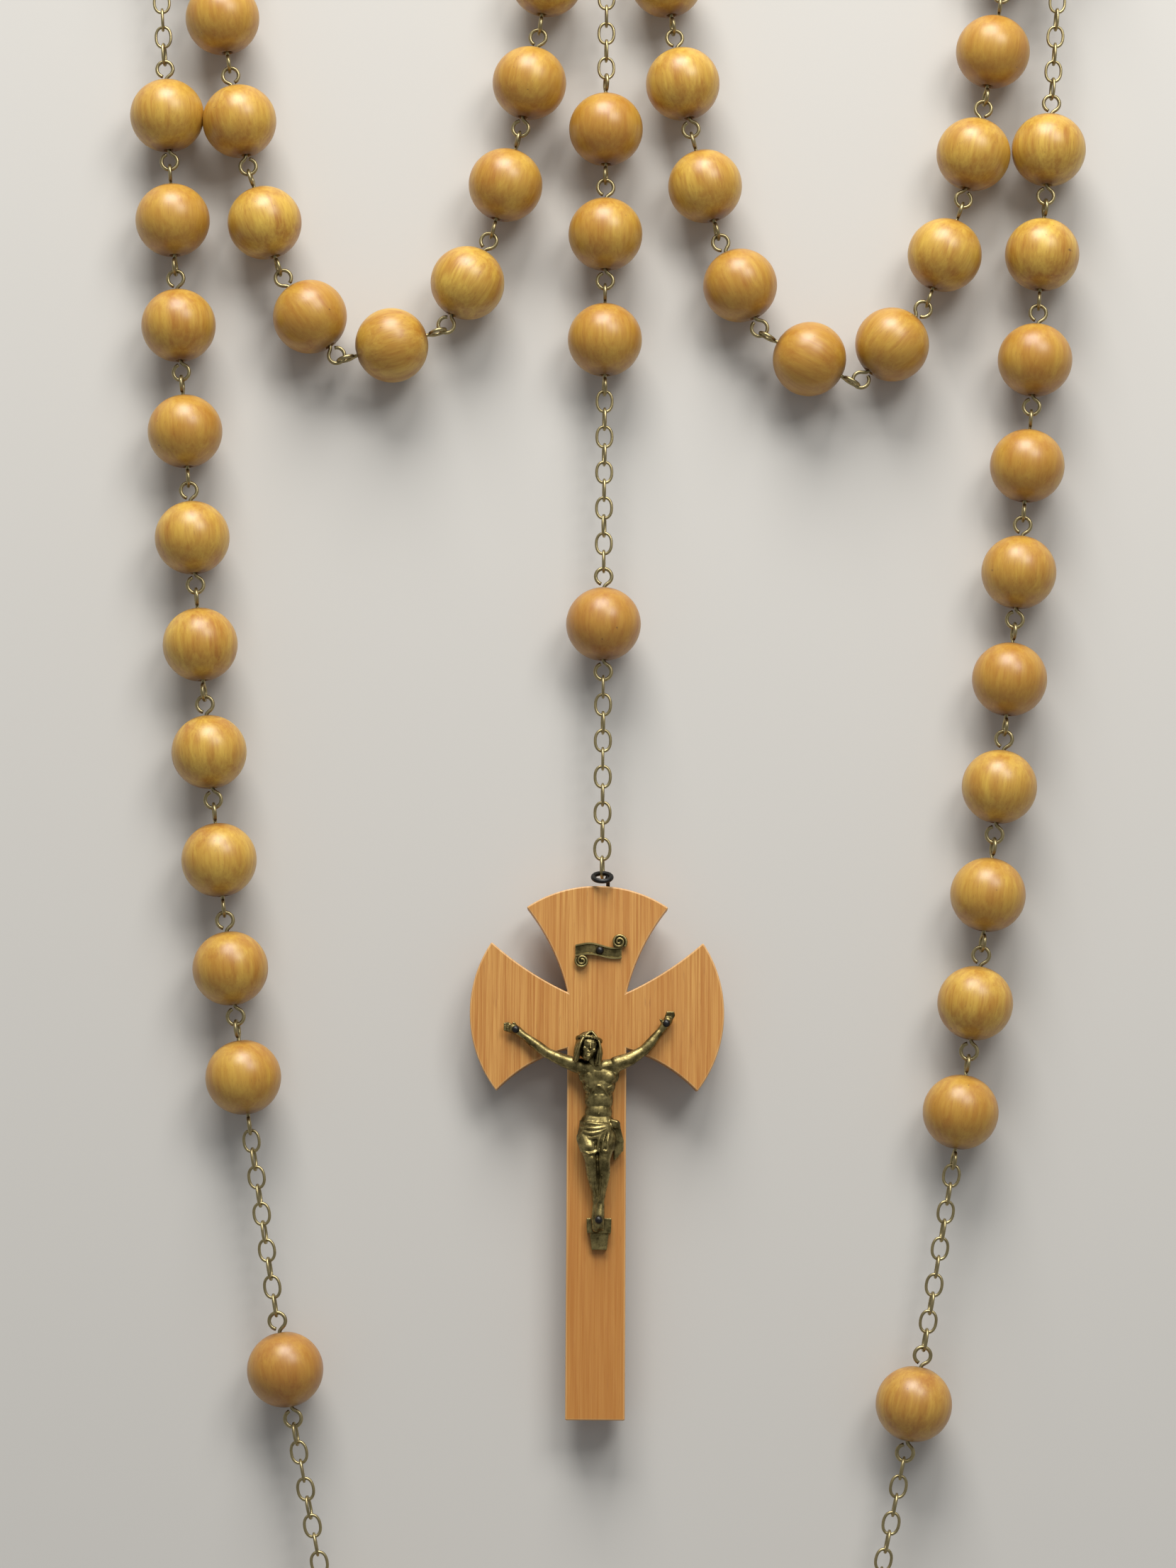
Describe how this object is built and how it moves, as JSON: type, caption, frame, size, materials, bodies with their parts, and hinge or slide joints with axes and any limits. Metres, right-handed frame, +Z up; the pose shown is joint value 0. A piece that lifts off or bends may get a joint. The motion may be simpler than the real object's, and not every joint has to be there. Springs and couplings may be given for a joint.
{
  "type": "wall rosary",
  "caption": "Wall rosary: turned wooden beads on linked brass eye pins and wire chain, hung from three pegs, with a wooden cross that carries a cast figure.",
  "frame": {"origin": "centre of the medal's hanging ring, on the middle peg", "axes": "+Z up along the hanging length, +X to the right as seen from the front, +Y towards the wall"},
  "size_m": [0.2681, 0.02, 0.6433],
  "materials": {
    "hail_mary_wood": "satin lacquer, honey orange, fine grain",
    "our_father_wood": "satin lacquer, honey orange, fine grain",
    "cross_wood": "satin, pale orange tan, straight grain",
    "chain_brass": "aged olive brass wire",
    "medal_brass": "aged brass",
    "figure_brass": "dark antique brass, worn on the high points",
    "blackened_steel": "blackened steel"
  },
  "bodies": {
    "root": {"centre_medal": "medal_brass", "left_corner": "our_father_wood", "right_corner": "our_father_wood"},
    "outer_left_bead_01": {"outer_left_bead_01": "hail_mary_wood"},
    "outer_left_bead_02": {"outer_left_bead_02": "hail_mary_wood"},
    "outer_left_bead_03": {"outer_left_bead_03": "hail_mary_wood"},
    "outer_left_bead_04": {"outer_left_bead_04": "hail_mary_wood"},
    "outer_left_bead_05": {"outer_left_bead_05": "hail_mary_wood"},
    "outer_left_bead_06": {"outer_left_bead_06": "hail_mary_wood"},
    "outer_left_bead_07": {"outer_left_bead_07": "hail_mary_wood"},
    "outer_left_bead_08": {"outer_left_bead_08": "hail_mary_wood"},
    "outer_left_bead_09": {"outer_left_bead_09": "hail_mary_wood"},
    "outer_left_bead_10": {"outer_left_bead_10": "hail_mary_wood"},
    "lower_chain_left": {"lower_chain_left": "chain_brass"},
    "our_father_bead_left": {"our_father_bead_left": "our_father_wood"},
    "bottom_decade": {"bottom_decade": "hail_mary_wood"},
    "outer_right_bead_01": {"outer_right_bead_01": "hail_mary_wood"},
    "outer_right_bead_02": {"outer_right_bead_02": "hail_mary_wood"},
    "outer_right_bead_03": {"outer_right_bead_03": "hail_mary_wood"},
    "outer_right_bead_04": {"outer_right_bead_04": "hail_mary_wood"},
    "outer_right_bead_05": {"outer_right_bead_05": "hail_mary_wood"},
    "outer_right_bead_06": {"outer_right_bead_06": "hail_mary_wood"},
    "outer_right_bead_07": {"outer_right_bead_07": "hail_mary_wood"},
    "outer_right_bead_08": {"outer_right_bead_08": "hail_mary_wood"},
    "outer_right_bead_09": {"outer_right_bead_09": "hail_mary_wood"},
    "outer_right_bead_10": {"outer_right_bead_10": "hail_mary_wood"},
    "lower_chain_right": {"lower_chain_right": "chain_brass"},
    "our_father_bead_right": {"our_father_bead_right": "our_father_wood"},
    "inner_left_bead_01": {"inner_left_bead_01": "hail_mary_wood"},
    "inner_left_bead_02": {"inner_left_bead_02": "hail_mary_wood"},
    "inner_left_bead_03": {"inner_left_bead_03": "hail_mary_wood"},
    "inner_left_bead_04": {"inner_left_bead_04": "hail_mary_wood"},
    "inner_left_bead_05": {"inner_left_bead_05": "hail_mary_wood"},
    "inner_left_bead_06": {"inner_left_bead_06": "hail_mary_wood"},
    "inner_left_bead_07": {"inner_left_bead_07": "hail_mary_wood"},
    "inner_left_bead_08": {"inner_left_bead_08": "hail_mary_wood"},
    "inner_left_bead_09": {"inner_left_bead_09": "hail_mary_wood"},
    "inner_right_bead_01": {"inner_right_bead_01": "hail_mary_wood"},
    "inner_right_bead_02": {"inner_right_bead_02": "hail_mary_wood"},
    "inner_right_bead_03": {"inner_right_bead_03": "hail_mary_wood"},
    "inner_right_bead_04": {"inner_right_bead_04": "hail_mary_wood"},
    "inner_right_bead_05": {"inner_right_bead_05": "hail_mary_wood"},
    "inner_right_bead_06": {"inner_right_bead_06": "hail_mary_wood"},
    "inner_right_bead_07": {"inner_right_bead_07": "hail_mary_wood"},
    "inner_right_bead_08": {"inner_right_bead_08": "hail_mary_wood"},
    "inner_right_bead_09": {"inner_right_bead_09": "hail_mary_wood"},
    "pendant_top_chain": {"pendant_top_chain": "our_father_wood"},
    "pendant_bead_1": {"pendant_bead_1": "hail_mary_wood"},
    "pendant_bead_2": {"pendant_bead_2": "hail_mary_wood"},
    "pendant_bead_3": {"pendant_bead_3": "hail_mary_wood"},
    "pendant_middle_chain": {"pendant_middle_chain": "chain_brass"},
    "pendant_our_father_bead": {"pendant_our_father_bead": "our_father_wood"},
    "pendant_lower_chain": {"pendant_lower_chain": "chain_brass"},
    "cross": {"cross": "cross_wood", "figure": "figure_brass", "title_scroll": "figure_brass", "nail_left_hand": "blackened_steel", "nail_right_hand": "blackened_steel", "nail_feet": "blackened_steel", "screw_eye": "blackened_steel"}
  },
  "joints": [
    {"name": "outer_swing_01_left", "type": "hinge", "parent": "root", "child": "outer_left_bead_01", "pos_m": [-0.11992, 0, -0.09818], "axis": [0.9994, 0, -0.034], "range_deg": [-30, 0]},
    {"name": "outer_swing_01_right", "type": "hinge", "parent": "root", "child": "outer_right_bead_01", "pos_m": [0.12094, 0, -0.10638], "axis": [0.9994, 0, -0.034], "range_deg": [-30, 0]},
    {"name": "outer_swing_02_left", "type": "hinge", "parent": "outer_left_bead_01", "child": "outer_left_bead_02", "pos_m": [-0.11779, 0, -0.13092], "axis": [-0.9994, 0, 0.0346], "range_deg": [0, 30]},
    {"name": "outer_swing_02_right", "type": "hinge", "parent": "outer_right_bead_01", "child": "outer_right_bead_02", "pos_m": [0.11878, 0, -0.13911], "axis": [-0.9994, 0, 0.0346], "range_deg": [0, 30]},
    {"name": "outer_swing_03_left", "type": "hinge", "parent": "outer_left_bead_02", "child": "outer_left_bead_03", "pos_m": [-0.11605, 0, -0.15605], "axis": [0.9994, 0, -0.0351], "range_deg": [-30, 0]},
    {"name": "outer_swing_03_right", "type": "hinge", "parent": "outer_right_bead_02", "child": "outer_right_bead_03", "pos_m": [0.117, 0, -0.16425], "axis": [0.9994, 0, -0.0351], "range_deg": [-30, 0]},
    {"name": "outer_swing_04_left", "type": "hinge", "parent": "outer_left_bead_03", "child": "outer_left_bead_04", "pos_m": [-0.11363, 0, -0.18877], "axis": [-0.9994, 0, 0.0359], "range_deg": [0, 30]},
    {"name": "outer_swing_04_right", "type": "hinge", "parent": "outer_right_bead_03", "child": "outer_right_bead_04", "pos_m": [0.11454, 0, -0.19695], "axis": [-0.9994, 0, 0.0359], "range_deg": [0, 30]},
    {"name": "outer_swing_05_left", "type": "hinge", "parent": "outer_left_bead_04", "child": "outer_left_bead_05", "pos_m": [-0.11164, 0, -0.21389], "axis": [0.9993, 0, -0.0365], "range_deg": [-30, 0]},
    {"name": "outer_swing_05_right", "type": "hinge", "parent": "outer_right_bead_04", "child": "outer_right_bead_05", "pos_m": [0.1125, 0, -0.22207], "axis": [0.9993, 0, -0.0365], "range_deg": [-30, 0]},
    {"name": "outer_swing_06_left", "type": "hinge", "parent": "outer_left_bead_05", "child": "outer_left_bead_06", "pos_m": [-0.10884, 0, -0.24657], "axis": [-0.9993, 0, 0.0374], "range_deg": [0, 30]},
    {"name": "outer_swing_06_right", "type": "hinge", "parent": "outer_right_bead_05", "child": "outer_right_bead_06", "pos_m": [0.10964, 0, -0.25474], "axis": [-0.9993, 0, 0.0374], "range_deg": [0, 30]},
    {"name": "outer_swing_07_left", "type": "hinge", "parent": "outer_left_bead_06", "child": "outer_left_bead_07", "pos_m": [-0.1065, 0, -0.27166], "axis": [0.9993, 0, -0.0382], "range_deg": [-30, 0]},
    {"name": "outer_swing_07_right", "type": "hinge", "parent": "outer_right_bead_06", "child": "outer_right_bead_07", "pos_m": [0.10724, 0, -0.27983], "axis": [0.9993, 0, -0.0382], "range_deg": [-30, 0]},
    {"name": "outer_swing_08_left", "type": "hinge", "parent": "outer_left_bead_07", "child": "outer_left_bead_08", "pos_m": [-0.10317, 0, -0.30429], "axis": [-0.9992, 0, 0.0394], "range_deg": [0, 30]},
    {"name": "outer_swing_08_right", "type": "hinge", "parent": "outer_right_bead_07", "child": "outer_right_bead_08", "pos_m": [0.10382, 0, -0.31245], "axis": [-0.9992, 0, 0.0394], "range_deg": [0, 30]},
    {"name": "outer_swing_09_left", "type": "hinge", "parent": "outer_left_bead_08", "child": "outer_left_bead_09", "pos_m": [-0.10035, 0, -0.32933], "axis": [0.9992, 0, -0.0405], "range_deg": [-30, 0]},
    {"name": "outer_swing_09_right", "type": "hinge", "parent": "outer_right_bead_08", "child": "outer_right_bead_09", "pos_m": [0.10092, 0, -0.33748], "axis": [0.9992, 0, -0.0405], "range_deg": [-30, 0]},
    {"name": "outer_swing_10_left", "type": "hinge", "parent": "outer_left_bead_09", "child": "outer_left_bead_10", "pos_m": [-0.09626, 0, -0.36187], "axis": [-0.9991, 0, 0.0421], "range_deg": [0, 30]},
    {"name": "outer_swing_10_right", "type": "hinge", "parent": "outer_right_bead_09", "child": "outer_right_bead_10", "pos_m": [0.09669, 0, -0.37001], "axis": [-0.9991, 0, 0.0421], "range_deg": [0, 30]},
    {"name": "outer_swing_11_left", "type": "hinge", "parent": "outer_left_bead_10", "child": "lower_chain_left", "pos_m": [-0.09271, 0, -0.38682], "axis": [0.999, 0, -0.0437], "range_deg": [-30, 0]},
    {"name": "outer_swing_11_right", "type": "hinge", "parent": "outer_right_bead_10", "child": "lower_chain_right", "pos_m": [0.09301, 0, -0.39494], "axis": [0.999, 0, -0.0437], "range_deg": [-30, 0]},
    {"name": "outer_swing_12_left", "type": "hinge", "parent": "lower_chain_left", "child": "our_father_bead_left", "pos_m": [-0.08523, 0, -0.43454], "axis": [-0.9989, 0, 0.0473], "range_deg": [0, 30]},
    {"name": "outer_swing_12_right", "type": "hinge", "parent": "lower_chain_right", "child": "our_father_bead_right", "pos_m": [0.08522, 0, -0.44261], "axis": [-0.9989, 0, 0.0473], "range_deg": [0, 30]},
    {"name": "outer_swing_13", "type": "hinge", "parent": "our_father_bead_left", "child": "bottom_decade", "pos_m": [-0.07953, 0, -0.46684], "axis": [0.9987, 0, -0.0504], "range_deg": [-30, 0]},
    {"name": "inner_left_swing_1_peg", "type": "hinge", "parent": "root", "child": "inner_left_bead_09", "pos_m": [-0.10617, 0, -0.07499], "axis": [0.9927, 0, 0.1207], "range_deg": [-30, 0]},
    {"name": "inner_left_swing_1_medal", "type": "hinge", "parent": "root", "child": "inner_left_bead_01", "pos_m": [-0.01456, 0, -0.06386], "axis": [0.9927, 0, 0.1207], "range_deg": [-30, 0]},
    {"name": "inner_left_swing_2_peg", "type": "hinge", "parent": "inner_left_bead_09", "child": "inner_left_bead_08", "pos_m": [-0.10244, 0, -0.09991], "axis": [-0.9915, 0, -0.1302], "range_deg": [0, 30]},
    {"name": "inner_left_swing_2_medal", "type": "hinge", "parent": "inner_left_bead_01", "child": "inner_left_bead_02", "pos_m": [-0.01798, 0, -0.08882], "axis": [-0.9915, 0, -0.1302], "range_deg": [0, 30]},
    {"name": "inner_left_swing_3_peg", "type": "hinge", "parent": "inner_left_bead_08", "child": "inner_left_bead_07", "pos_m": [-0.09584, 0, -0.13203], "axis": [0.9886, 0, 0.1504], "range_deg": [-30, 0]},
    {"name": "inner_left_swing_3_medal", "type": "hinge", "parent": "inner_left_bead_02", "child": "inner_left_bead_03", "pos_m": [-0.02387, 0, -0.12108], "axis": [0.9886, 0, 0.1504], "range_deg": [-30, 0]},
    {"name": "inner_left_swing_4_peg", "type": "hinge", "parent": "inner_left_bead_07", "child": "inner_left_bead_06", "pos_m": [-0.08831, 0, -0.15608], "axis": [-0.9836, 0, -0.1801], "range_deg": [0, 30]},
    {"name": "inner_left_swing_4_medal", "type": "hinge", "parent": "inner_left_bead_03", "child": "inner_left_bead_04", "pos_m": [-0.03028, 0, -0.14545], "axis": [-0.9836, 0, -0.1801], "range_deg": [0, 30]},
    {"name": "inner_left_roll", "type": "hinge", "parent": "inner_left_bead_06", "child": "inner_left_bead_05", "pos_m": [-0.05736, 0, -0.17755], "axis": [0.9573, 0, 0.2892], "range_deg": [-25, 0]},
    {"name": "inner_right_swing_1_peg", "type": "hinge", "parent": "root", "child": "inner_right_bead_09", "pos_m": [0.10689, 0, -0.08315], "axis": [-0.9789, 0, 0.2045], "range_deg": [0, 30]},
    {"name": "inner_right_swing_1_medal", "type": "hinge", "parent": "root", "child": "inner_right_bead_01", "pos_m": [0.01456, 0, -0.06386], "axis": [-0.9789, 0, 0.2045], "range_deg": [0, 30]},
    {"name": "inner_right_swing_2_peg", "type": "hinge", "parent": "inner_right_bead_09", "child": "inner_right_bead_08", "pos_m": [0.10291, 0, -0.10803], "axis": [0.9754, 0, -0.2205], "range_deg": [-30, 0]},
    {"name": "inner_right_swing_2_medal", "type": "hinge", "parent": "inner_right_bead_01", "child": "inner_right_bead_02", "pos_m": [0.01797, 0, -0.08882], "axis": [0.9754, 0, -0.2205], "range_deg": [-30, 0]},
    {"name": "inner_right_swing_3_peg", "type": "hinge", "parent": "inner_right_bead_08", "child": "inner_right_bead_07", "pos_m": [0.09576, 0, -0.14002], "axis": [-0.9671, 0, 0.2542], "range_deg": [0, 30]},
    {"name": "inner_right_swing_3_medal", "type": "hinge", "parent": "inner_right_bead_02", "child": "inner_right_bead_03", "pos_m": [0.02377, 0, -0.1211], "axis": [-0.9671, 0, 0.2542], "range_deg": [0, 30]},
    {"name": "inner_right_swing_4_peg", "type": "hinge", "parent": "inner_right_bead_07", "child": "inner_right_bead_06", "pos_m": [0.08743, 0, -0.16381], "axis": [0.9529, 0, -0.3033], "range_deg": [-30, 0]},
    {"name": "inner_right_swing_4_medal", "type": "hinge", "parent": "inner_right_bead_03", "child": "inner_right_bead_04", "pos_m": [0.02999, 0, -0.14552], "axis": [0.9529, 0, -0.3033], "range_deg": [-30, 0]},
    {"name": "inner_right_roll", "type": "hinge", "parent": "inner_right_bead_06", "child": "inner_right_bead_05", "pos_m": [0.05508, 0, -0.18069], "axis": [-0.8809, 0, 0.4733], "range_deg": [0, 25]},
    {"name": "pendant_swing_1", "type": "hinge", "parent": "root", "child": "pendant_top_chain", "pos_m": [0, 0, -0.024], "axis": [1, 0, 0], "range_deg": [-20, 0]},
    {"name": "pendant_swing_2", "type": "hinge", "parent": "pendant_top_chain", "child": "pendant_bead_1", "pos_m": [0, 0, -0.1051], "axis": [-1, 0, 0], "range_deg": [0, 30]},
    {"name": "pendant_swing_3", "type": "hinge", "parent": "pendant_bead_1", "child": "pendant_bead_2", "pos_m": [0, 0, -0.1303], "axis": [1, 0, 0], "range_deg": [-30, 0]},
    {"name": "pendant_swing_4", "type": "hinge", "parent": "pendant_bead_2", "child": "pendant_bead_3", "pos_m": [0, 0, -0.1631], "axis": [-1, 0, 0], "range_deg": [0, 30]},
    {"name": "pendant_sway_1", "type": "hinge", "parent": "pendant_bead_3", "child": "pendant_middle_chain", "pos_m": [0, 0, -0.1921], "axis": [0, 1, 0], "range_deg": [-12, 12]},
    {"name": "pendant_swing_5", "type": "hinge", "parent": "pendant_middle_chain", "child": "pendant_our_father_bead", "pos_m": [0, 0, -0.2366], "axis": [1, 0, 0], "range_deg": [-30, 0]},
    {"name": "pendant_sway_2", "type": "hinge", "parent": "pendant_our_father_bead", "child": "pendant_lower_chain", "pos_m": [0, 0, -0.2656], "axis": [0, -1, 0], "range_deg": [-15, 15]},
    {"name": "cross_swing", "type": "hinge", "parent": "pendant_lower_chain", "child": "cross", "pos_m": [0, 0, -0.31983], "axis": [-1, 0, 0], "range_deg": [0, 40]}
  ],
  "couplings": [
    {"joint": "outer_swing_01_right", "follows": "outer_swing_01_left", "ratio": 1},
    {"joint": "outer_swing_02_right", "follows": "outer_swing_02_left", "ratio": 1},
    {"joint": "outer_swing_03_right", "follows": "outer_swing_03_left", "ratio": 1},
    {"joint": "outer_swing_04_right", "follows": "outer_swing_04_left", "ratio": 1},
    {"joint": "outer_swing_05_right", "follows": "outer_swing_05_left", "ratio": 1},
    {"joint": "outer_swing_06_right", "follows": "outer_swing_06_left", "ratio": 1},
    {"joint": "outer_swing_07_right", "follows": "outer_swing_07_left", "ratio": 1},
    {"joint": "outer_swing_08_right", "follows": "outer_swing_08_left", "ratio": 1},
    {"joint": "outer_swing_09_right", "follows": "outer_swing_09_left", "ratio": 1},
    {"joint": "outer_swing_10_right", "follows": "outer_swing_10_left", "ratio": 1},
    {"joint": "outer_swing_11_right", "follows": "outer_swing_11_left", "ratio": 1},
    {"joint": "outer_swing_12_right", "follows": "outer_swing_12_left", "ratio": 1},
    {"joint": "inner_left_swing_1_medal", "follows": "inner_left_swing_1_peg", "ratio": 1},
    {"joint": "inner_left_swing_2_medal", "follows": "inner_left_swing_2_peg", "ratio": 1},
    {"joint": "inner_left_swing_3_medal", "follows": "inner_left_swing_3_peg", "ratio": 1},
    {"joint": "inner_left_swing_4_medal", "follows": "inner_left_swing_4_peg", "ratio": 1},
    {"joint": "inner_right_swing_1_medal", "follows": "inner_right_swing_1_peg", "ratio": 1},
    {"joint": "inner_right_swing_2_medal", "follows": "inner_right_swing_2_peg", "ratio": 1},
    {"joint": "inner_right_swing_3_medal", "follows": "inner_right_swing_3_peg", "ratio": 1},
    {"joint": "inner_right_swing_4_medal", "follows": "inner_right_swing_4_peg", "ratio": 1}
  ]
}
